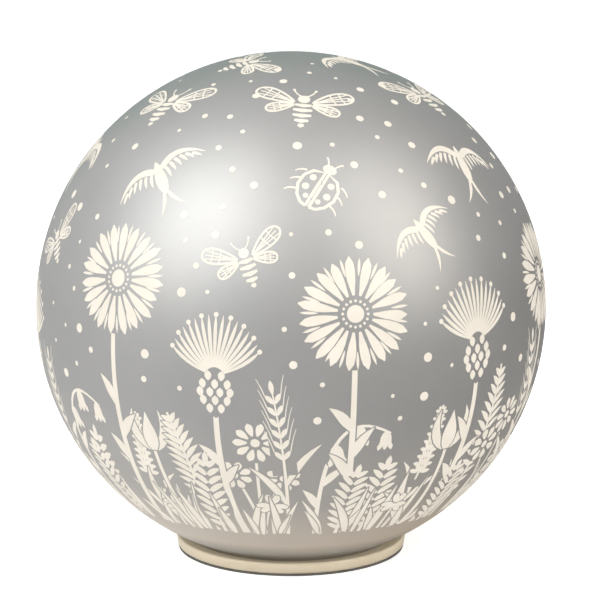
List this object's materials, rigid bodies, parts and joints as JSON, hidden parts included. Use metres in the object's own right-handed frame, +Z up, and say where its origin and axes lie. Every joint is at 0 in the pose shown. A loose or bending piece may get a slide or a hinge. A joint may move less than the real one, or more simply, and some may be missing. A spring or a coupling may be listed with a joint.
{
  "type": "led ball light",
  "caption": "Battery ball light: satin grey lacquered glass ball with cream lit windows, bedded in a low cream base with door and switch underneath.",
  "frame": {"origin": "middle of the underside of the foot ring, on the surface that the light stands on", "axes": "+Z up through the middle of the ball, Y along the cells, +X towards the switch, front at -Y"},
  "size_m": [0.2, 0.2, 0.1967],
  "materials": {
    "lacquered_glass": "satin metallic grey lacquer on glass, with cream lit windows left free",
    "lit_window": "frosted cream window in the lacquer, lit from inside",
    "cream_plastic": "fine satin moulded cream plastic",
    "white_plastic": "satin moulded white plastic",
    "black_plastic": "moulded black plastic",
    "foot_rubber": "dark closed-cell rubber",
    "clear_silicone": "cured milky silicone",
    "grey_silicone": "moulded grey silicone",
    "cell_sleeve": "plain printed sleeve on a metal can",
    "plated_steel": "nickel plated sheet",
    "spring_steel": "nickel plated wire",
    "screw_steel": "zinc plated screw",
    "green_board": "green lacquered circuit board",
    "white_board": "white lacquered circuit board",
    "ferrite": "ferrite drum",
    "capacitor_can": "bare aluminium can",
    "warm_lens": "clear warm white lens",
    "frosted_plastic": "frosted translucent plastic",
    "red_wire": "insulated wire",
    "black_wire": "insulated wire",
    "white_wire": "insulated wire"
  },
  "bodies": {
    "root": {"foot_ring": "foot_rubber", "base_housing": "cream_plastic", "glass_globe": "lacquered_glass", "globe_seal": "clear_silicone", "cell_left": "cell_sleeve", "cell_middle": "cell_sleeve", "cell_right": "cell_sleeve", "positive_contact": "plated_steel", "negative_contact": "plated_steel", "link_contacts": "plated_steel", "contact_springs": "spring_steel", "switch_body": "plated_steel", "switch_screws": "screw_steel", "electronics_cap": "white_plastic", "cap_screws": "screw_steel", "control_board": "green_board", "board_screws": "screw_steel", "timer_chip": "black_plastic", "boost_coil": "ferrite", "storage_capacitor": "capacitor_can", "board_resistors": "black_plastic", "led_board": "white_board", "led_board_screws": "screw_steel", "leds": "warm_lens", "led_diffuser": "frosted_plastic", "battery_leads": "red_wire", "switch_leads": "black_wire", "led_leads": "white_wire"},
    "door": {"battery_door": "cream_plastic", "door_gasket": "grey_silicone"},
    "front_screw": {"door_screw_front": "screw_steel"},
    "rear_screw": {"door_screw_rear": "screw_steel"},
    "slider": {"switch_slider": "black_plastic"}
  },
  "joints": [
    {"name": "door_lift", "type": "slide", "parent": "root", "child": "door", "axis": [0, 0, -1], "range_m": [0, 0.025]},
    {"name": "front_screw_turn", "type": "hinge", "parent": "door", "child": "front_screw", "pos_m": [0, -0.032, 0.001], "axis": [0, 0, 1], "continuous": true},
    {"name": "rear_screw_turn", "type": "hinge", "parent": "door", "child": "rear_screw", "pos_m": [0, 0.032, 0.001], "axis": [0, 0, 1], "continuous": true},
    {"name": "switch_slide", "type": "slide", "parent": "root", "child": "slider", "axis": [0, 1, 0], "range_m": [0, 0.004]}
  ]
}
